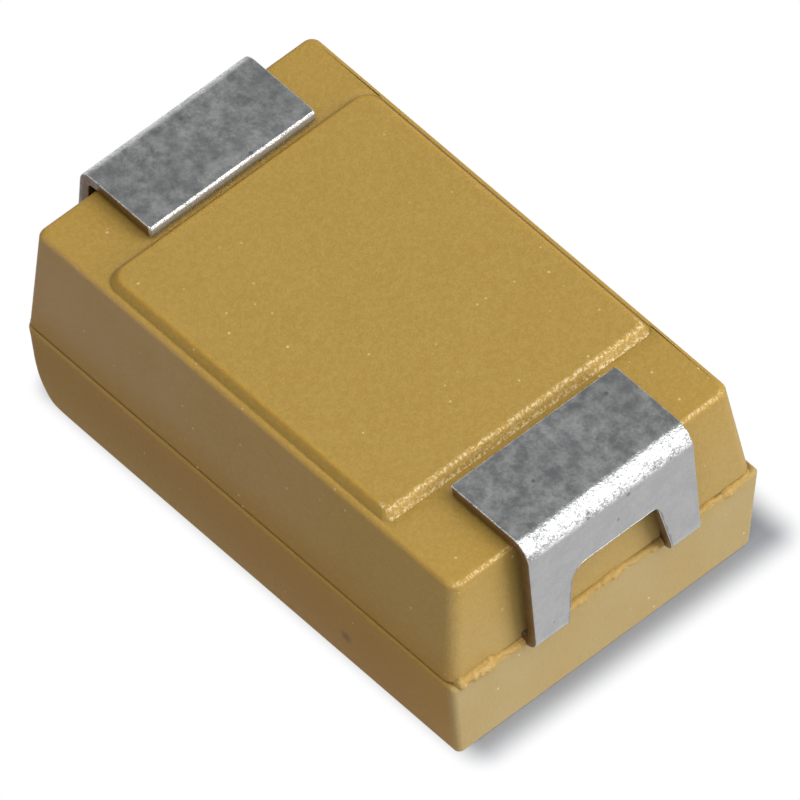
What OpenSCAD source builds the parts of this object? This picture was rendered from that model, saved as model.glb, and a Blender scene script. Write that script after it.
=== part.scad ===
// Moulded surface-mount tantalum capacitor, case size 7343-31.
// It lies on its marked face. The two folded leads and the mounting face point up (+Z), the length
// runs along X with the positive lead at -X, and the origin is the middle of the marked face.

/* [Case] */
// Length of the case at the parting line
case_l = 7.04; // [6.7:0.02:7.3]
// Width of the case at the parting line
case_w = 4.38; // [4.1:0.02:4.6]
// Height of the parting line above the marked face
parting_z = 1.07; // [1.0:0.01:1.25]
// Height of the mounting-side half above the parting line
mounting_half_h = 1.51; // [1.4:0.01:1.8]
// How far the marked-side half stands out past the mounting-side half, all round
ledge = 0.06; // [0.02:0.01:0.1]
// Draft of the end walls of the mounting-side half, in degrees
end_draft = 3; // [2:0.5:6]
// Draft of the long walls of the mounting-side half, in degrees
side_draft = 5.5; // [3:0.5:8]
// Draft of all walls of the marked-side half, in degrees
marked_draft = 1.2; // [1:0.1:6]
// Corner radius of the mounting-side half
mounting_corner_r = 0.16; // [0.12:0.02:0.3]
// Corner radius of the marked-side half
marked_corner_r = 0.2; // [0.15:0.05:0.4]
// Rounding along the edges of the two broad faces
edge_r = 0.07; // [0.04:0.01:0.1]

/* [Polarity bevel] */
// Length of the bevel, taken off the marked face at the positive end
bevel_l = 0.3; // [0.2:0.05:0.6]
// Height of the bevel
bevel_h = 0.45; // [0.3:0.05:0.8]

/* [Raised panel] */
// Gap along the mounting face between the positive lead's foot and the raised glue panel
panel_positive_gap = 0.015; // [0.01:0.005:0.2]
// Gap along the mounting face between the negative lead's foot and the panel
panel_negative_gap = 0.275; // [0.1:0.005:0.5]
// Width of the plain border between the panel and each long edge of the mounting face
panel_margin = 0.085; // [0.07:0.005:0.3]
// Height of the panel over the mounting face
panel_h = 0.1; // [0.05:0.01:0.15]
// Width of the panel's sloped edge
panel_slope = 0.09; // [0.06:0.01:0.14]
// Corner radius of the panel at its foot
panel_corner_r = 0.18; // [0.14:0.02:0.3]

/* [Leads] */
// Width of each lead
lead_w = 2.35; // [2.2:0.05:2.6]
// Thickness of the lead sheet
lead_t = 0.15; // [0.1:0.01:0.16]
// Gap between each leg and the end of the case at the parting line
leg_gap = 0.045; // [0.02:0.005:0.08]
// Gap between the mounting face and the folded feet
foot_gap = 0.07; // [0.02:0.01:0.1]
// Length of the negative soldering foot, with its fold
negative_foot_l = 1.23; // [1.0:0.01:1.4]
// Length of the positive soldering foot, with its fold
positive_foot_l = 1.35; // [1.0:0.01:1.4]
// Inner radius of the negative lead's fold at the mounting side
negative_fold_r = 0.12; // [0.08:0.01:0.2]
// Inner radius of the positive lead's fold at the mounting side
positive_fold_r = 0.08; // [0.06:0.01:0.2]
// How far the negative lead's legs lean towards the case, in degrees
negative_lean = 1.5; // [0:0.5:4]
// How far the positive lead's leg leans towards the case, in degrees
positive_lean = 7; // [0:0.5:7]
// Inner radius of the small bends at the parting line and inside the case
bend_r = 0.05; // [0.03:0.01:0.08]

/* [Notch] */
// Width of each of the negative lead's two legs, beside the notch
leg_w = 0.475; // [0.4:0.025:0.6]
// Height of the notch above the parting line
notch_h = 0.96; // [0.6:0.02:1.0]
// Radius of the notch's wide corner, on the -Y side
notch_wide_r = 0.22; // [0.1:0.02:0.3]
// Radius of the notch's tight corner, on the +Y side
notch_tight_r = 0.08; // [0.04:0.02:0.1]
// Length of the notch inside the case, where the moulding locks into it
notch_lock = 0.3; // [0.15:0.05:0.4]

/* [Coated pellet] */
// Moulding between the coated pellet and the negative end of the case
negative_cover = 0.95; // [0.9:0.05:1.1]
// Moulding between the pellet and the positive end of the case, which the wire crosses
positive_cover = 1.78; // [1.6:0.02:2.2]
// Moulding between the coated pellet and each long side of the case at the parting line
side_cover = 0.64; // [0.55:0.01:0.9]
// Moulding over the cradle on one side of the pellet, and over the coat on the other
face_cover = 0.435; // [0.3:0.005:0.5]
// Rounding of the pellet's long edges
pellet_edge_r = 0.15; // [0.1:0.05:0.3]
// Thickness of the graphite and silver coat
coat_t = 0.05; // [0.03:0.01:0.06]

/* [Connections inside] */
// Thickness of the silver adhesive between the coat and the negative lead
adhesive_t = 0.06; // [0.04:0.01:0.08]
// Gap between the coated pellet's end and the riser of the negative lead
riser_gap = 0.12; // [0.08:0.02:0.16]
// Length of the negative lead's cradle along the pellet
cradle_l = 1.7; // [1.2:0.1:2.2]
// Diameter of the tantalum wire
wire_d = 0.4; // [0.3:0.02:0.5]
// Length of the wire outside the pellet
wire_out = 1.0; // [0.85:0.05:1.1]
// Depth of the wire inside the pellet
wire_in = 1.6; // [1.0:0.1:2.5]
// How deep the wire is pressed into the welding tab
weld_depth = 0.06; // [0.04:0.01:0.1]
// Wall of the insulating washer round the wire
washer_wall = 0.25; // [0.15:0.05:0.4]
// Thickness of the washer
washer_t = 0.15; // [0.1:0.01:0.2]
// Width of the welding tab on the positive lead
tab_w = 1.1; // [0.8:0.1:1.4]
// Length of the welding tab under the wire
tab_l = 0.45; // [0.35:0.05:0.55]
// Length of the crank between the positive lead and its welding tab
crank_l = 0.25; // [0.2:0.05:0.35]

/* [Hidden] */
ROUND = 48;
SHELL_ROUND = 32;
EDGE_STEPS = 3;
BEND_STEPS = 12;
// Thickness of the thin plates that the drafted shapes are drawn between
SKIN = 0.01;
// How far pieces of one shape run into each other where they join
LAP = 0.01;

function inset(height, draft) = height * tan(draft);

// Points of an arc in the side view, from one angle to another
function arc(x, z, radius, from, to) = [
    for (step = [0 : BEND_STEPS])
        let (angle = from + (to - from) * step / BEND_STEPS)
            [x + radius * cos(angle), z + radius * sin(angle)],
];

// Heights
mounting_z = parting_z + mounting_half_h;
overall_h = mounting_z + foot_gap + lead_t;
cradle_z = mounting_z - face_cover - lead_t;
coat_top = cradle_z - adhesive_t;
pellet_h = coat_top - face_cover - 2 * coat_t;
axis_z = (coat_top + face_cover) / 2;
tab_z = axis_z - wire_d / 2 + weld_depth;

// Places along the length
case_end = case_l / 2;
lead_x = case_end + leg_gap + lead_t;
bend_outer_r = bend_r + lead_t;
coat_end_x = case_end - negative_cover;
pellet_end_x = coat_end_x - coat_t;
pellet_start_x = positive_cover - case_end;
riser_x = coat_end_x + riser_gap;
cradle_x = riser_x - bend_r - cradle_l;
tab_x = pellet_start_x - wire_out;

// Widths
pellet_w = case_w - 2 * (side_cover + coat_t);
notch_w = lead_w - 2 * leg_w;

// A rectangle with round corners, centred on the origin.
module round_rectangle(length, width, corner_r, segments) {
    square([length - 2 * corner_r, width], center = true);
    square([length, width - 2 * corner_r], center = true);
    for (sx = [-1, 1], sy = [-1, 1])
        translate([sx * (length / 2 - corner_r), sy * (width / 2 - corner_r)])
            circle(corner_r, $fn = segments);
}

// A thin plate with round corners, standing on z.
module round_plate(length, width, corner_r, z) {
    translate([0, 0, z])
        linear_extrude(SKIN)
            round_rectangle(length, width, corner_r, SHELL_ROUND);
}

// One half of the case, widest at z = 0, drafted towards a broad face with rounded edges.
module drafted_half(length, width, height, draft_x, draft_y, corner_r) {
    shoulder = height - edge_r;
    hull() {
        round_plate(length, width, corner_r, 0);
        for (step = [0 : EDGE_STEPS]) {
            angle = 90 * step / EDGE_STEPS;
            rise = shoulder + edge_r * sin(angle);
            back = edge_r * (1 - cos(angle));
            round_plate(
                length - 2 * (inset(rise, draft_x) + back),
                width - 2 * (inset(rise, draft_y) + back),
                corner_r, min(rise, height - SKIN)
            );
        }
    }
}

// The raised glue panel with its sloped edge, between the two soldering feet.
module glue_panel() {
    face_w = case_w - 2 * (ledge + inset(mounting_half_h, side_draft));
    panel_x0 = positive_foot_l + panel_positive_gap - lead_x;
    panel_x1 = lead_x - negative_foot_l - panel_negative_gap;
    panel_l = panel_x1 - panel_x0;
    panel_w = face_w - 2 * panel_margin;
    translate([(panel_x0 + panel_x1) / 2, 0, mounting_z - SKIN])
        hull() {
            round_plate(panel_l, panel_w, panel_corner_r, 0);
            round_plate(
                panel_l - 2 * panel_slope, panel_w - 2 * panel_slope,
                panel_corner_r - panel_slope / 2, panel_h
            );
        }
}

// The wedge taken off the marked face at the positive end.
module polarity_bevel() {
    end_x = inset(parting_z, marked_draft) - case_end;
    reach = 1;
    slope = bevel_h / bevel_l;
    translate([end_x, 0, 0])
        rotate([90, 0, 0])
            linear_extrude(case_w + 2 * reach, center = true)
                polygon([
                    [-reach, bevel_h + reach * slope], [-reach, -reach],
                    [bevel_l + reach / slope, -reach],
                ]);
}

module case_body() {
    translate([0, 0, parting_z])
        drafted_half(
            case_l - 2 * ledge, case_w - 2 * ledge, mounting_half_h,
            end_draft, side_draft, mounting_corner_r
        );
    difference() {
        translate([0, 0, parting_z])
            mirror([0, 0, 1])
                drafted_half(case_l, case_w, parting_z, marked_draft, marked_draft, marked_corner_r);
        polarity_bevel();
    }
    glue_panel();
}

// A straight run of sheet between two corners of the lead's side view, centred on Y.
module run(x0, z0, x1, z1, width) {
    translate([min(x0, x1), -width / 2, min(z0, z1)])
        cube([abs(x1 - x0), width, abs(z1 - z0)]);
}

// A quarter bend of sheet in the side view, from the angle start to start + 90.
module bend(x, z, inner_r, start, width) {
    translate([x, width / 2, z])
        rotate([90, 0, 0])
            rotate([0, 0, start])
                rotate_extrude(angle = 90, $fn = ROUND)
                    translate([inner_r, 0])
                        square([lead_t, width]);
}

// The part of both leads that shows: soldering foot, fold, leg and the bend into the case.
module folded_leg(foot_l, fold_r, lean, inner_x) {
    fold_outer_r = fold_r + lead_t;
    fold_z = overall_h - fold_outer_r;
    bend_x = lead_x - bend_outer_r;
    bend_z = parting_z + bend_outer_r;
    step_r = bend_outer_r - fold_outer_r;
    leg_l = (fold_z - bend_z - step_r * sin(lean)) / cos(lean);
    fold_x = bend_x + step_r * cos(lean) - leg_l * sin(lean);
    rotate([90, 0, 0])
        linear_extrude(lead_w, center = true)
            polygon(concat(
                [[inner_x, parting_z]],
                arc(bend_x, bend_z, bend_outer_r, 270, 360 + lean),
                arc(fold_x, fold_z, fold_outer_r, lean, 90),
                [[lead_x - foot_l, overall_h], [lead_x - foot_l, overall_h - lead_t]],
                arc(fold_x, fold_z, fold_r, 90, lean),
                arc(bend_x, bend_z, bend_r, 360 + lean, 270),
                [[inner_x, parting_z + lead_t]]
            ));
}

// The slot between the two legs of the negative lead, seen from the end of the case.
module notch_outline() {
    left = -notch_w / 2;
    right = notch_w / 2;
    top = parting_z + notch_h;
    below = parting_z - notch_h;
    translate([left, below])
        square([notch_w - notch_tight_r, top - notch_wide_r - below]);
    translate([left + notch_wide_r, below])
        square([notch_w - notch_wide_r - notch_tight_r, top - below]);
    translate([left + notch_wide_r, below])
        square([notch_w - notch_wide_r, top - notch_tight_r - below]);
    translate([left + notch_wide_r, top - notch_wide_r])
        circle(notch_wide_r, $fn = ROUND);
    translate([right - notch_tight_r, top - notch_tight_r])
        circle(notch_tight_r, $fn = ROUND);
}

module notch() {
    inside_x = case_end - notch_lock;
    translate([inside_x, 0, 0])
        rotate([90, 0, 90])
            linear_extrude(lead_x - inside_x + LAP)
                notch_outline();
}

// The negative lead's way inside the case: up a riser, then along the silvered pellet.
module cradle() {
    bend(riser_x + lead_t + bend_r, parting_z + lead_t + bend_r, bend_r, 180, lead_w);
    run(riser_x, parting_z + lead_t + bend_r, riser_x + lead_t, cradle_z - bend_r, lead_w);
    bend(riser_x - bend_r, cradle_z - bend_r, bend_r, 0, lead_w);
    run(cradle_x, cradle_z, riser_x - bend_r, cradle_z + lead_t, lead_w);
}

// The positive lead's way inside the case: a crank down to the tab that the wire is welded to.
module welding_tab() {
    floor_z = tab_z - lead_t;
    crank_x = tab_x - crank_l;
    tab_end_x = tab_x + tab_l;
    rotate([90, 0, 0])
        linear_extrude(tab_w, center = true)
            polygon([
                [crank_x - LAP, parting_z], [crank_x, parting_z],
                [tab_x, floor_z], [tab_end_x, floor_z],
                [tab_end_x, tab_z], [tab_x, tab_z],
                [crank_x, parting_z + lead_t], [crank_x - LAP, parting_z + lead_t],
            ]);
}

// A bar along X with rounded long edges, from x0 to x1, on the pellet's axis.
module rounded_bar(x0, x1, width, height, corner_r) {
    translate([x0, 0, axis_z])
        rotate([90, 0, 90])
            linear_extrude(x1 - x0)
                round_rectangle(width, height, corner_r, ROUND);
}

module pellet_shape() {
    rounded_bar(pellet_start_x, pellet_end_x, pellet_w, pellet_h, pellet_edge_r);
}

module coated_shape() {
    rounded_bar(
        pellet_start_x, coat_end_x, pellet_w + 2 * coat_t, pellet_h + 2 * coat_t,
        pellet_edge_r + coat_t
    );
}

// A round rod along X from x0 to x1, on the pellet's axis.
module rod(x0, x1, diameter) {
    translate([x0, 0, axis_z])
        rotate([0, 90, 0])
            cylinder(h = x1 - x0, d = diameter, $fn = ROUND);
}

module wire_shape() {
    rod(tab_x, pellet_start_x + wire_in, wire_d);
}

module washer_shape() {
    rod(pellet_start_x - washer_t, pellet_start_x, wire_d + 2 * washer_wall);
}

module adhesive_shape() {
    difference() {
        run(cradle_x, coat_top, riser_x - bend_r, cradle_z, lead_w);
        coated_shape();
    }
}

module negative_shape() {
    difference() {
        folded_leg(
            negative_foot_l, negative_fold_r, negative_lean, riser_x + lead_t + bend_r
        );
        notch();
    }
    cradle();
}

module positive_shape() {
    mirror([1, 0, 0])
        folded_leg(positive_foot_l, positive_fold_r, positive_lean, crank_l - tab_x);
    difference() {
        welding_tab();
        wire_shape();
    }
}

module case_moulding() {
    color("#8f7343")
        difference() {
            case_body();
            negative_shape();
            positive_shape();
            coated_shape();
            adhesive_shape();
            wire_shape();
            washer_shape();
        }
}

module negative_lead() {
    color("#a8a8a6") negative_shape();
}

module positive_lead() {
    color("#b0b0ae") positive_shape();
}

module tantalum_pellet() {
    color("#4c4a48")
        difference() {
            pellet_shape();
            wire_shape();
        }
}

module silver_coat() {
    color("#c4c4c0")
        difference() {
            coated_shape();
            pellet_shape();
        }
}

module silver_adhesive() {
    color("#d0d0cc") adhesive_shape();
}

module tantalum_wire() {
    color("#7d7b80") wire_shape();
}

module wire_washer() {
    color("#f2f0e8")
        difference() {
            washer_shape();
            wire_shape();
        }
}

case_moulding();
negative_lead();
positive_lead();
tantalum_pellet();
silver_coat();
silver_adhesive();
tantalum_wire();
wire_washer();
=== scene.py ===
"""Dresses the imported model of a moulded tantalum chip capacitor: case, flash, leads and inner parts.

Everything is worked out in millimetres in the frame of the CAD model and scaled to metres when a
mesh is written. The part lies on its marked face, with the soldering feet up.
"""

from __future__ import annotations

import logging
import math
from dataclasses import dataclass, field
from enum import Enum
from typing import Any, Sequence

import bpy
import numpy as np
from mathutils import Matrix, Vector, noise
from mathutils.geometry import delaunay_2d_cdt


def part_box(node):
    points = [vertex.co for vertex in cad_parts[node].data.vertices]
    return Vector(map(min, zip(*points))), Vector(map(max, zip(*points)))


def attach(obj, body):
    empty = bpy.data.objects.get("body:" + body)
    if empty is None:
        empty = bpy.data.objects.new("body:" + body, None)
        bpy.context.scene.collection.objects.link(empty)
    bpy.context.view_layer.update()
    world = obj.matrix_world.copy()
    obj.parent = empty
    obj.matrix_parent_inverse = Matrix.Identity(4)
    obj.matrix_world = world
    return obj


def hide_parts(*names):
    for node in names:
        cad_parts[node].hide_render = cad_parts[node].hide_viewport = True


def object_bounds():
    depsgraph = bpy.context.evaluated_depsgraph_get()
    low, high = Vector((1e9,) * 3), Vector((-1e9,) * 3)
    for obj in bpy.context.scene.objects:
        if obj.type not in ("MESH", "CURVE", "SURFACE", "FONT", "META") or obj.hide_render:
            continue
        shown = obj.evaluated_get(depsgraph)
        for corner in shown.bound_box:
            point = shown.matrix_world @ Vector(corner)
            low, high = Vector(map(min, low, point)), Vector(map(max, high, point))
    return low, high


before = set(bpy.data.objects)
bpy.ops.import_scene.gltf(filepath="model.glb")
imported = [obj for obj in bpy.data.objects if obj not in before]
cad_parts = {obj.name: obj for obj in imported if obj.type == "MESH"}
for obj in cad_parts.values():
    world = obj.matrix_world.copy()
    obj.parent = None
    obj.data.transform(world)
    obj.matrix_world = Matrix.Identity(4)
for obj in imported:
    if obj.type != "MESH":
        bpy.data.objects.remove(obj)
cad_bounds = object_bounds()

LOG = logging.getLogger("capacitor")
MM = 0.001
BODY = "root"

FRACTAL_FADE = 0.9
FRACTAL_STEP = 2.1

Colour = tuple[float, float, float]
Array = np.ndarray

ZERO: Colour = (0.0, 0.0, 0.0)
WHITE: Colour = (1.0, 1.0, 1.0)


# ---------------------------------------------------------------- shader expressions


class Wire:
    """An output socket that takes part in Python expressions; each operator adds a Math node."""

    def __init__(self, kit: NodeKit, socket: bpy.types.NodeSocket | None) -> None:
        self.kit = kit
        self.socket = socket

    def _math(self, operation: str, first: Value, second: Value) -> Wire:
        """Adds one Math node."""
        return self.kit.add("ShaderNodeMath", {"operation": operation}, {0: first, 1: second})

    def __add__(self, other: Value) -> Wire:
        """self + other."""
        return self._math("ADD", self, other)

    def __radd__(self, other: Value) -> Wire:
        """other + self."""
        return self._math("ADD", other, self)

    def __sub__(self, other: Value) -> Wire:
        """self - other."""
        return self._math("SUBTRACT", self, other)

    def __rsub__(self, other: Value) -> Wire:
        """other - self."""
        return self._math("SUBTRACT", other, self)

    def __mul__(self, other: Value) -> Wire:
        """self * other."""
        return self._math("MULTIPLY", self, other)

    def __rmul__(self, other: Value) -> Wire:
        """other * self."""
        return self._math("MULTIPLY", other, self)

    def high(self, other: Value) -> Wire:
        """The larger of self and other."""
        return self._math("MAXIMUM", self, other)


Value = Wire | float | Sequence[float]


class NodeKit:
    """Adds nodes to one node tree."""

    def __init__(self, tree: bpy.types.NodeTree) -> None:
        """Empties the tree."""
        self.tree = tree
        tree.nodes.clear()

    @staticmethod
    def _socket(sockets: Any, key: int | str) -> bpy.types.NodeSocket:
        """Finds a socket by its place, its identifier or its name.

        Args:
            sockets: A node's inputs or outputs.
            key: The place, identifier or name.

        Returns:
            The socket.
        """
        if isinstance(key, int):
            return sockets[key]
        for socket in sockets:
            if socket.identifier == key:
                return socket
        return sockets[key]

    def add(
        self,
        kind: str,
        settings: dict[str, Any] | None = None,
        inputs: dict[int | str, Value] | None = None,
        output: int | str = 0,
    ) -> Wire:
        """Adds a node: its settings first, then the values or links of its sockets.

        Args:
            kind: The node's type name.
            settings: Its properties, such as a Math node's operation.
            inputs: Values or wires by socket place, identifier or name.
            output: The socket to return.

        Returns:
            The chosen output as a wire.
        """
        node = self.tree.nodes.new(kind)
        for name, value in (settings or {}).items():
            setattr(node, name, value)
        for key, value in (inputs or {}).items():
            socket = self._socket(node.inputs, key)
            if isinstance(value, Wire):
                self.tree.links.new(value.socket, socket)
            else:
                socket.default_value = value
        return Wire(self, self._socket(node.outputs, output) if node.outputs else None)

    def vector(self, operation: str, first: Value, second: Value = ZERO, output: int | str = 0) -> Wire:
        """Adds one Vector Math node."""
        return self.add("ShaderNodeVectorMath", {"operation": operation}, {0: first, 1: second}, output)

    def axis(self, vector: Wire, name: str) -> Wire:
        """One coordinate of a vector: X, Y or Z."""
        return self.add("ShaderNodeSeparateXYZ", {}, {0: vector}, name)

    def place(self) -> Wire:
        """The point on the object in millimetres."""
        return self.vector("MULTIPLY", self.add("ShaderNodeTexCoord", output="Object"), (1.0 / MM,) * 3)

    def mask(self, name: str) -> Wire:
        """A number that the mesh carries at each vertex."""
        return self.add("ShaderNodeAttribute", {"attribute_name": name}, output="Fac")

    def grain(
        self, place: Wire, scale: float, detail: float = 2.0, rough: float = 0.5, twist: float = 0.0
    ) -> Wire:
        """Cloudy noise from 0 to 1: lumps a millimetre, octaves, weight of the finer ones, distortion."""
        inputs = {"Vector": place, "Scale": scale, "Detail": detail, "Roughness": rough, "Distortion": twist}
        return self.add("ShaderNodeTexNoise", {}, inputs, "Fac")

    def cells(self, place: Wire, scale: float) -> Wire:
        """Distance to the nearest of scattered points, of which there are so many a millimetre."""
        return self.add("ShaderNodeTexVoronoi", {}, {"Vector": place, "Scale": scale}, "Distance")

    def step(self, value: Value, low: float, high: float, to: tuple[float, float] = (0.0, 1.0)) -> Wire:
        """A smooth step between low and high, from the first of two numbers to the second."""
        inputs = {"Value": value, "From Min": low, "From Max": high, "To Min": to[0], "To Max": to[1]}
        return self.add("ShaderNodeMapRange", {"interpolation_type": "SMOOTHSTEP"}, inputs)

    def coats(self, base: Value, *coats: tuple[Value, Value]) -> Wire:
        """Lays colours over a base.

        Args:
            base: The colour below.
            coats: Share that each coat covers, and its colour, from the lowest up.

        Returns:
            The colour on top.
        """
        for share, coat in coats:
            settings = {"data_type": "RGBA", "clamp_factor": True}
            inputs = {"Factor_Float": share, "A_Color": rgba(base), "B_Color": rgba(coat)}
            base = self.add("ShaderNodeMix", settings, inputs, "Result_Color")
        return base

    def relief(self, height: Wire, depth: float, under: Wire | None = None) -> Wire:
        """A bump.

        Args:
            height: The relief, about 0 to 1.
            depth: How deep a step of 1 is, in millimetres.
            under: The normal of a coarser bump below it.

        Returns:
            The bumped normal.
        """
        inputs: dict[int | str, Value] = {"Height": height, "Distance": depth * MM, "Strength": 1.0}
        if under is not None:
            inputs["Normal"] = under
        return self.add("ShaderNodeBump", {}, inputs, "Normal")


def rgba(value: Value) -> Value:
    """A plain colour with alpha; a wire stays as it is."""
    return value if isinstance(value, Wire) else (*value, 1.0)


# ---------------------------------------------------------------- finishes


@dataclass(frozen=True)
class Finish:
    """A material: its name and constants, and the node tree that subclasses wire up."""

    name: str = "finish"

    def shade(self, kit: NodeKit) -> dict[str, Value]:
        """Wires up the finish.

        Args:
            kit: Adds nodes to the material.

        Returns:
            Values and wires for the inputs of the Principled shader.
        """
        raise NotImplementedError

    def material(self) -> bpy.types.Material:
        """The finish as a material, made on first use.

        Returns:
            The material.
        """
        known = bpy.data.materials.get(self.name)
        if known is not None:
            return known
        material = bpy.data.materials.new(self.name)
        material.use_nodes = True
        kit = NodeKit(material.node_tree)
        shader = kit.add("ShaderNodeBsdfPrincipled", {}, self.shade(kit))
        kit.add("ShaderNodeOutputMaterial", {}, {"Surface": shader})
        return material


@dataclass(frozen=True)
class MouldedEpoxy(Finish):
    """Ochre moulding compound with a spark-eroded grain and mineral specks; its colour also holds painted
    light: shade in the seams and grooves, sheen on the edges, glints, and lit and shaded tones on the ends
    and sides.
    """

    name: str = "moulded_epoxy"
    body: Colour = (0.435, 0.276, 0.054)
    pale: Colour = (0.50, 0.336, 0.085)
    deep: Colour = (0.37, 0.222, 0.038)
    # Painted highlight: the lighter orange where the rounded edges, the ledge and the flash catch the lamps.
    edge_sheen: Colour = (0.55, 0.305, 0.034)
    # Painted shade: the dark tone in the grooves and along the parting line.
    seam: Colour = (0.17, 0.10, 0.028)
    # Mineral specks, and the painted glints in the same pale colour.
    speck_and_glint: Colour = (0.84, 0.70, 0.41)
    # Painted light: the paler bounce tone of the negative end, and the greyer reflection and darker shade of
    # the long sides.
    painted_end_bounce: Colour = (0.47, 0.36, 0.175)
    painted_side_reflection: Colour = (0.53, 0.385, 0.24)
    painted_side_shade: Colour = (0.42, 0.195, 0.014)
    pit_at: tuple[float, float, float] = (1.73, -2.17, 0.42)

    def painted_end_and_side_light(self, kit: NodeKit, place: Wire, clouds: Wire) -> list[tuple[Wire, Colour]]:
        """Painted light: a paler tone low on the negative end for light bounced off the floor, a greyer
        painted reflection on the upper half of the long sides and a darker, redder painted shade on their
        lower half.

        Args:
            kit: Adds nodes to the material.
            place: The point in millimetres.
            clouds: Broad noise that breaks the painted tones up.

        Returns:
            Share and colour of each coat.
        """
        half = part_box("case_moulding")[1] / MM
        along, across, up = (kit.axis(place, name) for name in "XYZ")
        end = kit.step(along, half.x - 0.16, half.x - 0.04) * kit.step(up, 1.3, 0.9, (0.4, 0.95))
        side = kit.step(across.high(across * -1.0), half.y - 0.26, half.y - 0.2) * kit.step(along, 3.5, 3.36)
        above = side * kit.step(up, 0.75, 1.75) * kit.step(along, 3.0, -3.3, (0.15, 0.6))
        below = side * kit.step(up, 1.7, 0.7) * kit.step(along, 3.4, -3.0, (0.6, 0.35))
        broken = kit.step(clouds, 0.25, 0.7, (0.7, 1.0))
        return [
            (end * kit.step(clouds, 0.2, 0.7, (0.5, 0.8)), self.painted_end_bounce),
            (above * broken, self.painted_side_reflection),
            (below * broken, self.painted_side_shade),
        ]

    def shade(self, kit: NodeKit) -> dict[str, Value]:
        """Mottle and specks over a fine grain, with painted light: lit and shaded tones on the ends and
        sides, sheen on the edges, shade in the seams, and glints.

        Args:
            kit: Adds nodes to the material.

        Returns:
            Inputs of the shader.
        """
        place = kit.place()
        clouds = kit.grain(place, 1.1, 3.0, 0.55)
        mottle = kit.grain(place, 17.0, 3.0, 0.65)
        fine = kit.grain(place, 40.0, 2.0, 0.6)
        chosen = kit.step(kit.grain(place, 2.6, 1.0), 0.46, 0.58)
        specks = kit.step(kit.cells(place, 5.0), 0.05, 0.1, (1.0, 0.0)) * chosen
        # Painted highlight: the glint mask puts bright specks on the near borders and edges as glints.
        sparkle = kit.mask("glint") * kit.step(kit.grain(place, 30.0, 2.0, 0.7), 0.46, 0.6)
        to_pit = kit.vector("DISTANCE", place, self.pit_at, "Value") + (mottle - 0.5) * 0.05
        colour = kit.coats(
            self.deep,
            (kit.step(mottle, 0.35, 0.68), self.pale),
            (0.6, self.body),
            (kit.step(clouds, 0.3, 0.75) * 0.16, self.pale),
            (kit.step(fine, 0.34, 0.66) * 0.3, self.deep),
            (kit.step(fine, 0.6, 0.38) * 0.18, self.pale),
            # painted light and shade on the negative end and the long sides
            *self.painted_end_and_side_light(kit, place, clouds),
            # painted sheen on the rounded edges
            (kit.mask("edge") * kit.step(mottle, 0.2, 0.7, (0.45, 0.9)), self.edge_sheen),
            # painted shade in the grooves and along the parting line
            (kit.mask("seam") * kit.step(mottle, 0.2, 0.6, (0.5, 0.9)), self.seam),
            (kit.step(to_pit, 0.12, 0.02) * 0.7, self.seam),
            ((specks * 0.6).high(sparkle * 0.8), self.speck_and_glint),
        )
        return {
            "Base Color": colour,
            "Roughness": kit.step(mottle, 0.3, 0.7, (0.5, 0.62)) - sparkle * 0.2,
            "Normal": kit.relief(fine, 0.0035, kit.relief(mottle, 0.006)),
            "IOR": 1.5,
            "Specular IOR Level": 0.42,
        }


@dataclass(frozen=True)
class TinPlate(Finish):
    """Dull tin over a copper alloy: mottled, finely pitted, with brown metal on the cut edges."""

    name: str = "tin_plate"
    light: Colour = (0.62, 0.62, 0.62)
    dark: Colour = (0.28, 0.29, 0.295)
    stain: Colour = (0.19, 0.205, 0.205)
    even: Colour = (0.405, 0.405, 0.405)
    # Painted highlight: lightens the fold where the key lamp's reflection falls.
    bright: Colour = (0.72, 0.72, 0.71)
    copper: Colour = (0.20, 0.115, 0.062)
    # Painted highlight: the near-white, barely metallic tip edge stands for the lamp's reflection.
    shorn: Colour = (0.93, 0.93, 0.92)

    def shade(self, kit: NodeKit) -> dict[str, Value]:
        """Mottled feet, even legs, copper where the strip was cut, and painted highlights on the fold and
        the tip edge.

        Args:
            kit: Adds nodes to the material.

        Returns:
            Inputs of the shader.
        """
        place = kit.place()
        mottle = kit.grain(place, 5.0, 6.0, 0.72)
        fine = kit.grain(place, 22.0, 3.0, 0.7)
        patches = kit.grain(place, 1.5, 3.0, 0.55)
        pits = kit.step(kit.cells(place, 3.0), 0.06, 0.1, (1.0, 0.0))
        upward = kit.axis(kit.add("ShaderNodeNewGeometry", output="True Normal"), "Z")
        lying = kit.step(upward, 0.85, 0.99)
        folding = kit.step(upward, 0.1, 0.35) * (1.0 - lying)
        cut = kit.mask("cut") * kit.step(mottle, 0.25, 0.6, (1.0, 0.8))
        shorn = kit.mask("shorn")
        colour = kit.coats(
            self.dark,
            (kit.step(mottle, 0.33, 0.67), self.light),
            ((1.0 - lying) * 0.88, self.even),
            # painted highlight on the fold
            (folding * kit.step(fine, 0.42, 0.5), self.bright),
            (folding * kit.step(mottle, 0.5, 0.4) * 0.5, self.stain),
            (kit.step(patches, 0.42, 0.66) * lying * 0.28, self.stain),
            (kit.step(fine, 0.4, 0.7) * (0.1 + 0.14 * lying), self.stain),
            (pits * 0.75, self.stain),
            (cut, self.copper),
            # painted highlight on the tip edge
            (shorn * kit.step(fine, 0.35, 0.6, (1.0, 0.7)), self.shorn),
        )
        wrinkles = kit.relief(fine * folding, 0.016, kit.relief(mottle, 0.008))
        return {
            "Base Color": colour,
            "Metallic": 1.0 - shorn * 0.85,
            "Roughness": kit.step(mottle, 0.3, 0.7, (0.28, 0.19)) + cut * 0.2 + shorn * 0.2,
            "Normal": kit.relief(fine, 0.003, wrinkles),
        }


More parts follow.
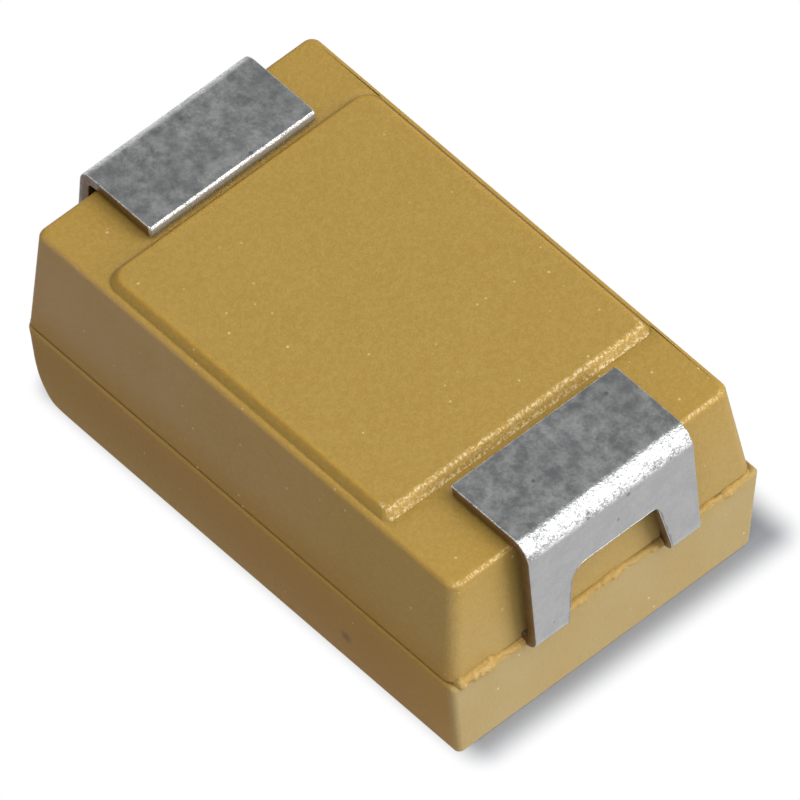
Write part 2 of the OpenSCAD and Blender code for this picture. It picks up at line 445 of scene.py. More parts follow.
@dataclass(frozen=True)
class SinteredTantalum(Finish):
    """Porous sintered powder, dark grey."""

    name: str = "sintered_tantalum"
    powder: Colour = (0.10, 0.095, 0.09)
    pore: Colour = (0.02, 0.018, 0.018)

    def shade(self, kit: NodeKit) -> dict[str, Value]:
        """Powder grains with open pores.

        Args:
            kit: Adds nodes to the material.

        Returns:
            Inputs of the shader.
        """
        place = kit.place()
        grains = kit.cells(place, 24.0)
        pores = kit.step(kit.grain(place, 15.0, 4.0, 0.7), 0.45, 0.62)
        return {
            "Base Color": kit.coats(self.pore, (pores, self.powder)),
            "Metallic": 0.35,
            "Roughness": kit.step(grains, 0.0, 0.8, (0.7, 0.9)),
            "Normal": kit.relief(pores - grains * 0.6, 0.012),
        }


@dataclass(frozen=True)
class SilverPaint(Finish):
    """Matt silver paint, brushed on and dried over graphite."""

    name: str = "silver_paint"
    flake: Colour = (0.66, 0.655, 0.63)
    thin: Colour = (0.34, 0.335, 0.33)

    def shade(self, kit: NodeKit) -> dict[str, Value]:
        """Flakes and thin streaks.

        Args:
            kit: Adds nodes to the material.

        Returns:
            Inputs of the shader.
        """
        place = kit.place()
        streaks = kit.grain(kit.vector("MULTIPLY", place, (1.2, 5.0, 5.0)), 1.5, 4.0, 0.6, 0.4)
        flakes = kit.cells(place, 30.0)
        return {
            "Base Color": kit.coats(self.thin, (kit.step(streaks, 0.36, 0.6), self.flake)),
            "Metallic": 0.85,
            "Roughness": kit.step(flakes, 0.1, 0.7, (0.48, 0.66)),
            "Normal": kit.relief(streaks + flakes * 0.3, 0.01),
        }


@dataclass(frozen=True)
class DrawnWire(Finish):
    """Drawn tantalum wire with fine die lines along it."""

    name: str = "drawn_wire"
    bright: Colour = (0.36, 0.36, 0.385)
    oxide: Colour = (0.16, 0.17, 0.23)

    def shade(self, kit: NodeKit) -> dict[str, Value]:
        """Die lines and oxide tint.

        Args:
            kit: Adds nodes to the material.

        Returns:
            Inputs of the shader.
        """
        place = kit.place()
        lines = kit.grain(kit.vector("MULTIPLY", place, (0.6, 18.0, 18.0)), 2.0, 3.0, 0.6)
        tint = kit.grain(place, 1.6, 2.0)
        return {
            "Base Color": kit.coats(self.bright, (kit.step(tint, 0.4, 0.7) * 0.7, self.oxide)),
            "Metallic": 1.0,
            "Roughness": kit.step(lines, 0.3, 0.7, (0.28, 0.42)),
            "Normal": kit.relief(lines, 0.003),
        }


@dataclass(frozen=True)
class Fluoroplastic(Finish):
    """White waxy washer plastic, skived from a rod."""

    name: str = "fluoroplastic"
    milk: Colour = (0.84, 0.83, 0.79)
    ivory: Colour = (0.70, 0.69, 0.65)

    def shade(self, kit: NodeKit) -> dict[str, Value]:
        """Faint skiving marks.

        Args:
            kit: Adds nodes to the material.

        Returns:
            Inputs of the shader.
        """
        marks = kit.grain(kit.vector("MULTIPLY", kit.place(), (14.0, 2.0, 2.0)), 1.4, 3.0)
        return {
            "Base Color": kit.coats(self.ivory, (kit.step(marks, 0.35, 0.65), self.milk)),
            "Roughness": kit.step(marks, 0.3, 0.7, (0.42, 0.5)),
            "Normal": kit.relief(marks, 0.004),
        }


EPOXY = MouldedEpoxy()
TIN = TinPlate()


# ---------------------------------------------------------------- mesh helpers


def rough_at(points: Array, scale: float, seed: float = 0.0, octaves: int = 3) -> Array:
    """Smooth random numbers from about -1 to 1.

    Args:
        points: One row of three millimetres a point.
        scale: Lumps per millimetre.
        seed: Shifts the pattern.
        octaves: How many sizes of lump are added.

    Returns:
        One number a point.
    """
    shift = Vector((seed,) * 3)
    return np.array([
        noise.fractal(Vector(point) * scale + shift, FRACTAL_FADE, FRACTAL_STEP, octaves) for point in points
    ])


def ease(value: Array | float, low: float, high: float) -> Array:
    """A smooth step of the value from 0 at low to 1 at high."""
    share = np.clip((np.asarray(value, float) - low) / (high - low), 0.0, 1.0)
    return share * share * (3.0 - 2.0 * share)


def band(first: int, second: int, count: int, flip: bool = False) -> list[list[int]]:
    """Quads between two closed rows of vertices.

    Args:
        first: Number of the first row's first vertex.
        second: Number of the second row's first vertex.
        count: Vertices in a row.
        flip: Whether the quads turn the other way.

    Returns:
        Vertex numbers of each quad.
    """
    after = [(i + 1) % count for i in range(count)]
    quads = [[first + i, first + j, second + j, second + i] for i, j in enumerate(after)]
    return [quad[::-1] for quad in quads] if flip else quads


def write_piece(
    name: str,
    points: Array,
    faces: Sequence[Sequence[int]],
    finish: Finish,
    masks: dict[str, Array] | None = None,
) -> bpy.types.Object:
    """Makes a mesh piece that rides on the body.

    Args:
        name: The piece's name.
        points: Vertices in millimetres.
        faces: Vertex numbers of each face.
        finish: Its finish.
        masks: Numbers at each vertex that the finish reads.

    Returns:
        The piece.
    """
    mesh = bpy.data.meshes.new(name)
    mesh.from_pydata((points * MM).tolist(), [], [tuple(face) for face in faces])
    mesh.validate()
    for mask, values in (masks or {}).items():
        layer = mesh.attributes.new(mask, "FLOAT", "POINT")
        layer.data.foreach_set("value", np.asarray(values, np.float32))
    mesh.polygons.foreach_set("use_smooth", [True] * len(mesh.polygons))
    mesh.materials.append(finish.material())
    piece = bpy.data.objects.new(name, mesh)
    bpy.context.scene.collection.objects.link(piece)
    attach(piece, BODY)
    LOG.info("%s: %d vertices, %d faces", name, len(mesh.vertices), len(mesh.polygons))
    return piece


@dataclass(frozen=True)
class Walls:
    """How far four walls stand inside the part's box, in millimetres."""

    near: float
    far: float
    left: float
    right: float

    def __add__(self, more: float) -> Walls:
        """All four moved further in by the same distance."""
        return Walls(self.near + more, self.far + more, self.left + more, self.right + more)

    def towards(self, other: Walls, share: float) -> Walls:
        """The walls at a share of the way to others."""
        one, two = vars(self), vars(other)
        return Walls(**{key: one[key] + (two[key] - one[key]) * share for key in one})


@dataclass
class Ring:
    """A round-cornered rectangle at one height, with the marks its vertices carry."""

    x0: float
    x1: float
    y0: float
    y1: float
    near_r: float
    far_r: float
    z: float
    edge: float = 0.0
    seam: float = 0.0
    glint: float = 0.0

    def inset(self, by: float, z: float, rounder: float = 0.0, **marks: float) -> Ring:
        """The ring moved inwards at another height.

        Args:
            by: Distance inwards.
            z: Height of the new ring.
            rounder: How much larger its corner radii are.
            marks: The marks of the new ring.

        Returns:
            The new ring.
        """
        spans = (self.x0 + by, self.x1 - by, self.y0 + by, self.y1 - by)
        return Ring(*spans, self.near_r + rounder, self.far_r + rounder, z, **marks)

    def outline(self, along: int, across: int, corner: int) -> Array:
        """Points round the ring, from the middle of the corner at the lowest x and y.

        Args:
            along: Spans on a straight side along X.
            across: Spans on a straight side along Y.
            corner: Spans in a corner, an even number.

        Returns:
            One row of x, y, z a point.
        """
        near, far = self.near_r, self.far_r
        centres = [
            (self.x1 - near, self.y0 + near, -90.0, near),
            (self.x1 - near, self.y1 - near, 0.0, near),
            (self.x0 + far, self.y1 - far, 90.0, far),
            (self.x0 + far, self.y0 + far, 180.0, far),
        ]
        arcs = []
        for cx, cy, start, r in centres:
            angles = np.radians(start + np.linspace(0.0, 90.0, corner + 1))
            arcs.append(np.stack([cx + r * np.cos(angles), cy + r * np.sin(angles)], 1))
        loop: list[Array] = [arcs[3][corner // 2:]]
        for index, spans in enumerate((along, across, along, across)):
            begin, end = loop[-1][-1], arcs[index][0]
            shares = np.linspace(0.0, 1.0, spans + 1)[1:-1, None]
            loop.append(begin + (end - begin) * shares)
            loop.append(arcs[index] if index < 3 else arcs[index][: corner // 2])
        flat = np.concatenate(loop)
        return np.column_stack([flat, np.full(len(flat), self.z)])


def patch(loop: Array, along: int, across: int) -> Array:
    """Fills a four-sided loop with a smooth grid.

    Args:
        loop: Points round it, counter-clockwise from the corner at the lowest x and y.
        along: Spans on the sides along X.
        across: Spans on the sides along Y.

    Returns:
        Grid of points, (across + 1) x (along + 1) x 3.
    """
    south = loop[: along + 1]
    east = loop[along: along + across + 1]
    north = loop[along + across: 2 * along + across + 1][::-1]
    west = np.concatenate([loop[2 * along + across:], loop[:1]])[::-1]
    u = np.linspace(0.0, 1.0, along + 1)[None, :, None]
    v = np.linspace(0.0, 1.0, across + 1)[:, None, None]
    ruled = (1 - v) * south[None] + v * north[None] + (1 - u) * west[:, None] + u * east[:, None]
    corners = (
        (1 - u) * (1 - v) * south[0] + u * (1 - v) * south[-1] + (1 - u) * v * north[0] + u * v * north[-1]
    )
    return ruled - corners


# ---------------------------------------------------------------- the case


@dataclass
class CaseMoulding:
    """The epoxy case: two drafted halves, ledge, bevel and raised panel, as one fine mesh.

    Sizes are in millimetres. Each half has its walls at its foot and at its top, and its corner radii at
    the negative and the positive end. The last counts are rings up the walls and spans of the mesh.
    """

    parting_z: float
    half_h: float = 1.51
    seam_rise: float = 0.07
    marked_foot: Walls = Walls(0.03, 0.13, 0.035, 0.17)
    marked_top: Walls = Walls(0.0, 0.1, 0.0, 0.012)
    upper_foot: Walls = Walls(0.05, 0.115, 0.032, 0.06)
    upper_top: Walls = Walls(0.139, 0.185, 0.205, 0.222)
    marked_r: tuple[float, float] = (0.07, 0.16)
    upper_r: tuple[float, float] = (0.15, 0.12)
    marked_edge_r: float = 0.03
    edge_r: float = 0.06
    seam_r: float = 0.014
    bevel_l: float = 0.34
    bevel_h: float = 0.45
    bevel_blend: float = 0.05
    panel_x: tuple[float, float] = (-2.35, 2.235)
    panel_half_w: float = 1.9
    panel_h: float = 0.1
    panel_slope: float = 0.085
    panel_r: tuple[float, float] = (0.12, 0.22)
    groove_w: float = 0.028
    groove_depth: float = 0.012
    ledge_h: float = 0.05
    near_panel: tuple[float, float] = (0.25, 0.14)
    near_panel_corner: float = 0.06
    near_edge: tuple[float, float] = (0.23, 0.18)
    near_edge_glint: float = 0.62
    ring_gap: float = 0.02
    marked_edge_rings: int = 7
    marked_rings: int = 22
    upper_rings: int = 26
    edge_rings: int = 9
    along: int = 160
    across: int = 112
    corner: int = 12
    low: Vector = field(default_factory=lambda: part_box("case_moulding")[0] / MM)
    high: Vector = field(default_factory=lambda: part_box("case_moulding")[1] / MM)

    @property
    def mounting_z(self) -> float:
        """Height of the mounting face round the panel."""
        return self.parting_z + self.half_h

    @property
    def seam_z(self) -> float:
        """Height of the moulding's parting line, in the thickness of the lead sheet."""
        return self.parting_z + self.seam_rise

    @property
    def crest_z(self) -> float:
        """Height at which the ledge begins to slope in."""
        return self.seam_z - self.ledge_h

    def ring(self, walls: Walls, radii: tuple[float, float], z: float, **marks: float) -> Ring:
        """The ring that stands inside the part's box by the given distances.

        Args:
            walls: The distances.
            radii: Corner radii at the negative and the positive end.
            z: Height of the ring.
            marks: The marks of its vertices.

        Returns:
            The ring.
        """
        along = (self.low.x + walls.far, self.high.x - walls.near)
        across = (self.low.y + walls.left, self.high.y - walls.right)
        return Ring(*along, *across, *radii, z, **marks)

    def rings(self) -> list[Ring]:
        """The rings from the marked face up to the panel.

        Returns:
            The rings in order.
        """
        rings: list[Ring] = []
        r = self.marked_edge_r
        for angle in np.radians(np.linspace(90.0, 0.0, self.marked_edge_rings)):
            z = r * (1 - math.sin(angle))
            walls = self.marked_walls(z) + r * (1 - math.cos(angle))
            # edge: painted sheen on the marked face's rounded edge
            rings.append(self.ring(walls, self.marked_r, z, edge=0.3 * math.sin(angle)))
        for z in np.linspace(r + self.ring_gap, self.crest_z, self.marked_rings):
            rings.append(self.ring(self.marked_walls(z), self.marked_r, float(z)))
        rings += self.seam_rings()
        r = self.edge_r
        shoulder = self.mounting_z - r
        for z in np.linspace(self.seam_z + self.seam_r * 2, shoulder - self.ring_gap, self.upper_rings):
            rings.append(self.ring(self.upper_walls(z), self.upper_r, float(z)))
        for angle in np.linspace(0.0, 90.0, self.edge_rings):
            turn = math.radians(angle)
            z = shoulder + r * math.sin(turn)
            walls = self.upper_walls(z) + r * (1 - math.cos(turn))
            # edge: painted sheen on the rounded mounting edge; glint: painted highlight in its middle
            edge = 0.45 if 15 < angle < 80 else 0.2
            glint = 1.0 if 30 < angle < 70 else 0.0
            rings.append(self.ring(walls, self.upper_r, z, edge=edge, glint=glint))
        return rings + self.panel_rings(rings[-1])

    def marked_walls(self, z: float) -> Walls:
        """The walls of the marked-side half at a height."""
        return self.marked_foot.towards(self.marked_top, z / self.crest_z)

    def upper_walls(self, z: float) -> Walls:
        """The walls of the mounting-side half at a height."""
        return self.upper_foot.towards(self.upper_top, (z - self.seam_z) / (self.mounting_z - self.seam_z))

    def seam_rings(self) -> list[Ring]:
        """The sloped ledge at the parting line, with a fine groove in its corner.

        Returns:
            The rings in order.
        """
        # Columns: share of the way, rise, painted edge sheen and painted seam shade.
        steps = (
            (0.12, -0.038, 0.0, 0.0),
            (0.45, -0.016, 0.1, 0.0),
            (0.8, -0.004, 0.3, 0.4),
            (0.97, -0.009, 0.0, 1.0),
            (1.05, -0.002, 0.0, 1.0),
            (1.0, self.seam_r, 0.0, 0.6),
        )
        rings = []
        for share, rise, edge, seam in steps:
            radii = self.marked_r if share < 0.9 else self.upper_r
            walls = self.marked_top.towards(self.upper_foot, share)
            rings.append(self.ring(walls, radii, self.seam_z + rise, edge=edge, seam=seam))
        return rings

    def panel_rings(self, face: Ring) -> list[Ring]:
        """The mounting face, the groove round the panel and its sloped border.

        Args:
            face: The last ring of the rounded edge.

        Returns:
            The rings up to the panel's top.
        """
        z, wide, deep = self.mounting_z, self.groove_w, self.groove_depth
        foot = Ring(*self.panel_x, -self.panel_half_w, self.panel_half_w, *self.panel_r, z)
        outside = foot.inset(-wide * 0.75, z, wide * 0.75)
        rings = [self.between(face, outside, share) for share in (0.04, 0.15, 0.35, 0.6, 0.85)]
        rings.append(outside)
        # Columns: share of the groove's width, rise, painted seam shade and painted glint.
        groove = (
            (-0.4, -deep * 0.35, 0.2, 0.0),
            (-0.15, -deep, 0.4, 0.4),
            (0.1, 0.004 - deep, 0.35, 0.9),
            (0.4, 0.006, 0.1, 1.0),
        )
        for share, rise, seam, glint in groove:
            rings.append(foot.inset(wide * share, z + rise, seam=seam, glint=glint))
        # Columns: share of the slope's width, share of its height, painted edge sheen and painted glint.
        border = (
            (0.38, 0.36, 0.1, 0.3),
            (0.55, 0.6, 0.3, 0.2),
            (0.72, 0.8, 0.5, 0.6),
            (0.88, 0.92, 0.7, 1.0),
            (1.04, 0.975, 0.7, 1.0),
            (1.2, 0.995, 0.4, 0.5),
            (1.45, 1.0, 0.15, 0.0),
        )
        for share, rise, edge, glint in border:
            rings.append(self.on_slope(foot, share, rise, edge=edge, glint=glint))
        return rings

    def on_slope(self, foot: Ring, share: float, rise: float, **marks: float) -> Ring:
        """A ring on the panel's sloped border, at shares of its width and height."""
        tighter = -0.5 * self.panel_slope * min(share, 1.0)
        return foot.inset(self.panel_slope * share, self.mounting_z + self.panel_h * rise, tighter, **marks)

    @staticmethod
    def between(first: Ring, second: Ring, share: float) -> Ring:
        """The ring at a share of the way from the first to the second."""
        one, two = vars(first), vars(second)
        return Ring(**{key: one[key] + (two[key] - one[key]) * share for key in one})

    def near_border(self, points: Array) -> Array:
        """Tells the borders at the negative end, where glints are painted, from the others.

        Args:
            points: Vertices of the case.

        Returns:
            1 on the panel's border there, near_edge_glint on the case's top edge there, 0 elsewhere.
        """
        x, y, _ = points.T
        panel_end, edge_end = self.panel_x[1], self.high.x
        panel = ease(x, *(panel_end - inside for inside in self.near_panel))
        panel = panel * (np.abs(y) < self.panel_half_w - self.near_panel_corner)
        edge = ease(x, *(edge_end - inside for inside in self.near_edge))
        return np.where(x < (panel_end + edge_end) / 2, panel, self.near_edge_glint * edge)

    def bevelled(self, points: Array) -> Array:
        """Presses the points below the polarity bevel's plane onto it, with a soft edge.

        Args:
            points: Vertices of the case.

        Returns:
            The moved vertices.
        """
        end_x = self.low.x + self.marked_foot.far
        normal = np.array([self.bevel_h / self.bevel_l, 0.0, 1.0])
        normal /= np.linalg.norm(normal)
        depth = (points - np.array([end_x, 0.0, self.bevel_h])) @ normal
        soft = depth / 2 + np.sqrt(depth * depth / 4 + self.bevel_blend ** 2)
        lift = np.where(points[:, 2] < self.parting_z - self.ledge_h, soft - depth, 0.0)
        return points + lift[:, None] * normal

    def build(self) -> bpy.types.Object:
        """Builds the case and hides the CAD node it stands for.

        Returns:
            The piece.
        """
        rings = self.rings()
        loops = [ring.outline(self.along, self.across, self.corner) for ring in rings]
        around, last = len(loops[0]), len(rings) - 1
        points = np.concatenate(loops)
        faces: list[list[int]] = []
        for ring in range(last):
            faces += band(ring * around, (ring + 1) * around, around)
        spans = (self.along + self.corner, self.across + self.corner)
        for ring, flip in ((0, True), (last, False)):
            points, faces = self.cap(points, faces, ring * around, loops[ring], spans, flip)
        rest = np.zeros(len(points) - len(rings) * around)
        masks = {
            name: np.concatenate([np.repeat([getattr(ring, name) for ring in rings], around), rest])
            for name in ("edge", "seam", "glint")
        }
        near = self.near_border(points)
        masks["glint"] *= near
        # no painted seam shade on the negative end's top edge, where the glints are painted
        masks["seam"] *= np.where(points[:, 2] > self.mounting_z - self.edge_r, 1.0 - near, 1.0)
        piece = write_piece("moulded_case", self.bevelled(points), faces, EPOXY, masks)
        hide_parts("case_moulding")
        return piece

    @staticmethod
    def cap(
        points: Array, faces: list[list[int]], start: int, loop: Array, spans: tuple[int, int], flip: bool
    ) -> tuple[Array, list[list[int]]]:
        """Closes a ring with a grid.

        Args:
            points: Vertices so far.
            faces: Faces so far.
            start: Number of the ring's first vertex.
            loop: The ring's points.
            spans: Grid spans along X and Y.
            flip: Whether the grid faces down.

        Returns:
            The vertices and faces with the grid.
        """
        along, across = spans
        grid = patch(loop, along, across)
        numbers = np.zeros((across + 1, along + 1), int)
        border = [(0, i) for i in range(along)] + [(j, along) for j in range(across)]
        border += [(across, along - i) for i in range(along)] + [(across - j, 0) for j in range(across)]
        for place, (j, i) in enumerate(border):
            numbers[j, i] = start + place
        inner = len(points) + np.arange((across - 1) * (along - 1)).reshape(across - 1, along - 1)
        numbers[1:-1, 1:-1] = inner
        points = np.concatenate([points, grid[1:-1, 1:-1].reshape(-1, 3)])
        for j in range(across):
            for i in range(along):
                quad = [numbers[j, i], numbers[j, i + 1], numbers[j + 1, i + 1], numbers[j + 1, i]]
                faces.append([int(n) for n in (quad[::-1] if flip else quad)])
        return points, faces


# ---------------------------------------------------------------- the leads


class Pole(Enum):
    """The two ends of the part, each with the side of the case that its lead is on."""

    NEGATIVE = 1.0
    POSITIVE = -1.0


@dataclass(frozen=True)
class Run:
    """A straight length of the strip."""

    length: float


@dataclass(frozen=True)
class Bend:
    """A bend of the strip: radius at the middle of the sheet and angle, left turns positive."""

    radius: float
    angle: float

    @property
    def length(self) -> float:
        """Length along the middle of the sheet."""
        return self.radius * math.radians(abs(self.angle))


@dataclass
class FoldPath:
    """The side view of a folded strip, followed from its inner end."""

    start: tuple[float, float]
    legs: Sequence[Run | Bend]

    @property
    def length(self) -> float:
        """Length of the whole strip."""
        return sum(leg.length for leg in self.legs)

    def stations(self, coarse: float, fine: float) -> Array:
        """Distances along the strip, close together in the bends.

        Args:
            coarse: Spacing on the straight runs.
            fine: Spacing in the bends.

        Returns:
            The distances.
        """
        marks = [0.0]
        for leg in self.legs:
            spans = max(1, math.ceil(leg.length / (fine if isinstance(leg, Bend) else coarse)))
            marks += list(marks[-1] + leg.length * np.arange(1, spans + 1) / spans)
        return np.array(marks)

    def at(self, distance: Array) -> tuple[Array, Array]:
        """Places on the middle of the sheet.

        Args:
            distance: Distances along the strip.

        Returns:
            Points and left-hand normals in the side view.
        """
        points = np.zeros((len(distance), 2))
        normals = np.zeros((len(distance), 2))
        spot, heading, passed = np.array(self.start, float), 0.0, 0.0
        for number, leg in enumerate(self.legs):
            last = number == len(self.legs) - 1
            here = (distance >= passed - 1e-9) & ((distance < passed + leg.length) | last)
            local = distance[here] - passed
            if isinstance(leg, Run):
                ahead = np.array([math.cos(heading), math.sin(heading)])
                points[here] = spot + local[:, None] * ahead
                normals[here] = (-math.sin(heading), math.cos(heading))
                spot = spot + leg.length * ahead
            else:
                turn = math.copysign(1.0, leg.angle)
                centre = spot + turn * leg.radius * np.array([-math.sin(heading), math.cos(heading)])
                angles = heading + turn * local / leg.radius
                normal = np.stack([-np.sin(angles), np.cos(angles)], 1)
                points[here] = centre - turn * leg.radius * normal
                normals[here] = normal
                heading += math.radians(leg.angle)
                spot = centre - turn * leg.radius * np.array([-math.sin(heading), math.cos(heading)])
            passed += leg.length
        return points, normals


@dataclass
class FoldedLead:
    """A lead punched from plated strip, with rolled edges, and folded round the case.

    Sizes are in millimetres and the lean of the leg is in degrees. The punch rolls the outer rim over and
    leaves the cut below it, which the masks mark. wave is how far the sheet is out of flat, and coarse and
    fine are the spacings of the mesh on the straights and in the bends.
    """

    pole: Pole
    node: str
    foot_l: float
    fold_r: float
    lean: float
    parting_z: float = 1.07
    thickness: float = 0.15
    bend_r: float = 0.05
    corner_r: float = 0.02
    roll: float = 0.018
    tip_roll: float = 0.04
    tip_l: float = 0.05
    burr: float = 0.012
    rolled_bare: float = 0.7
    roll_steps: int = 6
    burr_steps: int = 3
    coarse: float = 0.04
    fine: float = 0.016
    wave: float = 0.004
    low: Vector = field(init=False)
    high: Vector = field(init=False)
    width: float = field(init=False)

    def __post_init__(self) -> None:
        """Reads the node's box, turned to the +X side."""
        low, high = (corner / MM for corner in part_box(self.node))
        if self.pole is Pole.POSITIVE:
            low, high = Vector((-high.x, low.y, low.z)), Vector((-low.x, high.y, high.z))
        self.low, self.high = low, high
        self.width = high.y - low.y

    @property
    def path(self) -> FoldPath:
        """The strip's side view."""
        raise NotImplementedError

    def blank(self) -> list[Array]:
        """The outline of the flat strip, and of any hole in it."""
        raise NotImplementedError

    def outer_legs(self, from_x: float) -> list[Run | Bend]:
        """The legs that both leads share, from inside the case to the tip of the foot.

        Args:
            from_x: Where the last inner leg ends.

        Returns:
            The legs.
        """
        half = self.thickness / 2
        bend_outer, fold_outer = self.bend_r + self.thickness, self.fold_r + self.thickness
        lean = math.radians(self.lean)
        step = bend_outer - fold_outer
        rise = self.high.z - fold_outer - self.parting_z - bend_outer
        leg = (rise - step * math.sin(lean)) / math.cos(lean)
        bend_x = self.high.x - bend_outer
        fold_x = bend_x + step * math.cos(lean) - leg * math.sin(lean)
        return [
            Run(bend_x - from_x),
            Bend(self.bend_r + half, 90.0 + self.lean),
            Run(leg),
            Bend(self.fold_r + half, 90.0 - self.lean),
            Run(fold_x - self.high.x + self.foot_l),
        ]

    def fill(self, loops: Sequence[Array], stations: Array) -> tuple[Array, Array]:
        """Triangulates the flat strip with points spread over it.

        Args:
            loops: Outline and holes, set in by the rolled edge.
            stations: Distances along the strip for the spread points.

        Returns:
            Extra points, and triangles that number the loops' points first.
        """
        outline = np.concatenate(loops)
        across = np.linspace(-self.width / 2, self.width / 2, round(self.width / self.coarse) + 1)
        spots = np.stack(np.meshgrid(stations, across, indexing="ij"), -1).reshape(-1, 2)
        keep = self.inside(spots, loops[0])
        for hole in loops[1:]:
            keep &= ~self.inside(spots, hole)
        gap = np.full(len(spots), np.inf)
        for point in outline:
            gap = np.minimum(gap, np.hypot(*(spots - point).T))
        spots = spots[keep & (gap > self.fine * 0.8)]
        edges, first = [], 0
        for loop in loops:
            edges += [(first + i, first + (i + 1) % len(loop)) for i in range(len(loop))]
            first += len(loop)
        everything = [Vector(p) for p in np.concatenate([outline, spots])]
        made = delaunay_2d_cdt(everything, edges, [], 0, 1e-6)
        places = np.array([tuple(p) for p in made[0]])
        triangles = np.array(made[2])
        middles = places[triangles].mean(1)
        good = self.inside(middles, loops[0])
        for hole in loops[1:]:
            good &= ~self.inside(middles, hole)
        return places[len(outline):], triangles[good]

    @staticmethod
    def inside(spots: Array, loop: Array) -> Array:
        """Which points lie inside a closed outline.

        Args:
            spots: Points.
            loop: The outline.

        Returns:
            True or False for each.
        """
        result = np.zeros(len(spots), bool)
        x, y = spots.T
        for (ax, ay), (bx, by) in zip(loop, np.roll(loop, -1, 0)):
            crosses = (ay > y) != (by > y)
            with np.errstate(divide="ignore", invalid="ignore"):
                result ^= crosses & (x < (bx - ax) * (y - ay) / (by - ay) + ax)
        return result

    @staticmethod
    def inward(loop: Array, hole: bool) -> Array:
        """Unit directions into the metal at each point of an outline.

        Args:
            loop: The outline, counter-clockwise.
            hole: Whether the metal is outside it.

        Returns:
            The directions, longer at sharp corners.
        """
        ahead = np.roll(loop, -1, 0) - loop
        ahead /= np.hypot(*ahead.T)[:, None]
        behind = np.roll(ahead, 1, 0)
        normal = np.stack([-(ahead[:, 1] + behind[:, 1]), ahead[:, 0] + behind[:, 0]], 1)
        normal /= np.hypot(*normal.T)[:, None]
        lean = np.clip((normal * np.stack([-ahead[:, 1], ahead[:, 0]], 1)).sum(1), 0.5, 1.0)
        return normal / lean[:, None] * (-1.0 if hole else 1.0)

    def profile(self, roll: float) -> Array:
        """The cut edge from the outer face to the inner.

        Args:
            roll: Radius of the edge that the punch rolled over.

        Returns:
            Rows of inset, height and how bare the cut is.
        """
        half, burr = self.thickness / 2, self.burr
        steps = []
        for angle in np.radians(np.linspace(0.0, 90.0, self.roll_steps)):
            bare = 0.0 if angle < 1.0 else self.rolled_bare
            steps.append((roll * (1 - math.sin(angle)), -half + roll * (1 - math.cos(angle)), bare))
        steps += [(0.0, half * 0.1, 1.0), (0.004, half * 0.4, 1.0)]
        for angle in np.radians(np.linspace(0.0, 90.0, self.burr_steps)):
            steps.append((burr * (1 - math.cos(angle)) + 0.003, half - burr * (1 - math.sin(angle)), 1.0))
        return np.array(steps)

    def edge_rings(self, loops: Sequence[Array], length: float) -> tuple[Array, Array, Array, Array]:
        """Every step of the cut edge all round the strip.

        Args:
            loops: Outline and holes of the flat strip.
            length: Length of the strip.

        Returns:
            Places in the flat strip (steps x points x 2), heights, how bare the cut is away from the tip,
            and the same at the tip alone, where the finish paints a white highlight (steps x points).
        """
        inward = np.concatenate([self.inward(loop, hole=number > 0) for number, loop in enumerate(loops)])
        outline = np.concatenate(loops)
        tip = (outline[:, 0] > length - self.tip_l).astype(float)
        hole = np.arange(len(outline)) >= len(loops[0])
        plain, soft, tight = (self.profile(roll) for roll in (self.roll, self.tip_roll, self.roll / 2))
        rings = plain[:, None] * (1 - tip - hole)[None, :, None]
        rings = rings + soft[:, None] * tip[None, :, None] + tight[:, None] * hole[None, :, None]
        places = outline[None] + inward[None] * rings[:, :, :1]
        fade = np.linspace(1.15, 0.0, len(plain)).clip(0, 1)[:, None]
        return places, rings[:, :, 1], rings[:, :, 2] * (1 - tip), rings[:, :, 2] * tip * fade

    def build(self, name: str) -> bpy.types.Object:
        """Builds the lead and hides the CAD node it stands for.

        Args:
            name: The piece's name.

        Returns:
            The piece.
        """
        path, loops = self.path, self.blank()
        places, heights, bare, shorn = self.edge_rings(loops, path.length)
        steps, count = heights.shape
        flat = [np.column_stack([places[step], heights[step]]) for step in range(steps)]
        faces: list[list[int]] = []
        for step in range(steps - 1):
            first = step * count
            for loop in loops:
                faces += band(first, first + count, len(loop), flip=self.pole is Pole.NEGATIVE)
                first += len(loop)
        splits = np.cumsum([len(loop) for loop in loops])[:-1]
        stations = path.stations(self.coarse, self.fine)
        for step, outer in ((0, True), (steps - 1, False)):
            begin = sum(len(part) for part in flat)
            spots, triangles = self.fill(np.split(places[step], splits), stations)
            flat.append(np.column_stack([spots, np.full(len(spots), heights[step, len(loops[0]) // 2])]))
            numbers = np.concatenate([step * count + np.arange(count), begin + np.arange(len(spots))])
            flip = outer == (self.pole is Pole.POSITIVE)
            for triangle in numbers[triangles].tolist():
                faces.append(triangle[::-1] if flip else triangle)
        strip = np.concatenate(flat)
        masks = {
            mask: np.concatenate([values.ravel(), np.zeros(len(strip) - values.size)])
            for mask, values in (("cut", bare), ("shorn", shorn))
        }
        piece = write_piece(name, self.folded(strip, path), faces, TIN, masks)
        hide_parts(self.node)
        return piece

    def folded(self, strip: Array, path: FoldPath) -> Array:
        """Folds the flat strip.

        Args:
            strip: Distance along, place across and height over the sheet's middle.
            path: The side view.

        Returns:
            Vertices in the part's frame.
        """
        middle, normal = path.at(strip[:, 0])
        sway = rough_at(np.column_stack([strip[:, :2], np.zeros(len(strip))]), 1.3, 3.0) * self.wave
        height = strip[:, 2] + np.abs(sway)
        side = middle + normal * height[:, None]
        return np.stack([side[:, 0] * self.pole.value, strip[:, 1], side[:, 1]], 1)

